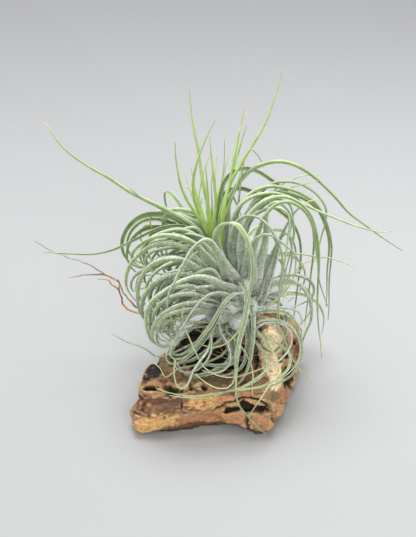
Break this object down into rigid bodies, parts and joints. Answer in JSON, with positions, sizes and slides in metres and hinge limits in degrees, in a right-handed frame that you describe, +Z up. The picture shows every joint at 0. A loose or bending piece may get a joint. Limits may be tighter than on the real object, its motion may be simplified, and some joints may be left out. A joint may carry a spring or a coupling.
{
  "type": "air plant on driftwood",
  "caption": "Silver-haired air plant with long narrow recurving leaves and a bright green heart, growing on a weathered chunk of driftwood that lies flat.",
  "frame": {"origin": "a point on the flat underside of the driftwood, under the middle of the wood", "axes": "+X to the right along the longest extent, +Y to the back, +Z up; the pictured side faces -Y"},
  "size_m": [0.1878, 0.1215, 0.1589],
  "materials": {
    "driftwood": "weathered, matt, with pale and burnt patches",
    "leaf_silver": "velvety silver hairs over sage green",
    "leaf_bright": "satin bright green with yellow tips",
    "root": "matt brown"
  },
  "bodies": {
    "root": {"driftwood": "driftwood", "rosette": "leaf_silver", "heart_leaves": "leaf_bright", "roots": "root"}
  },
  "joints": []
}
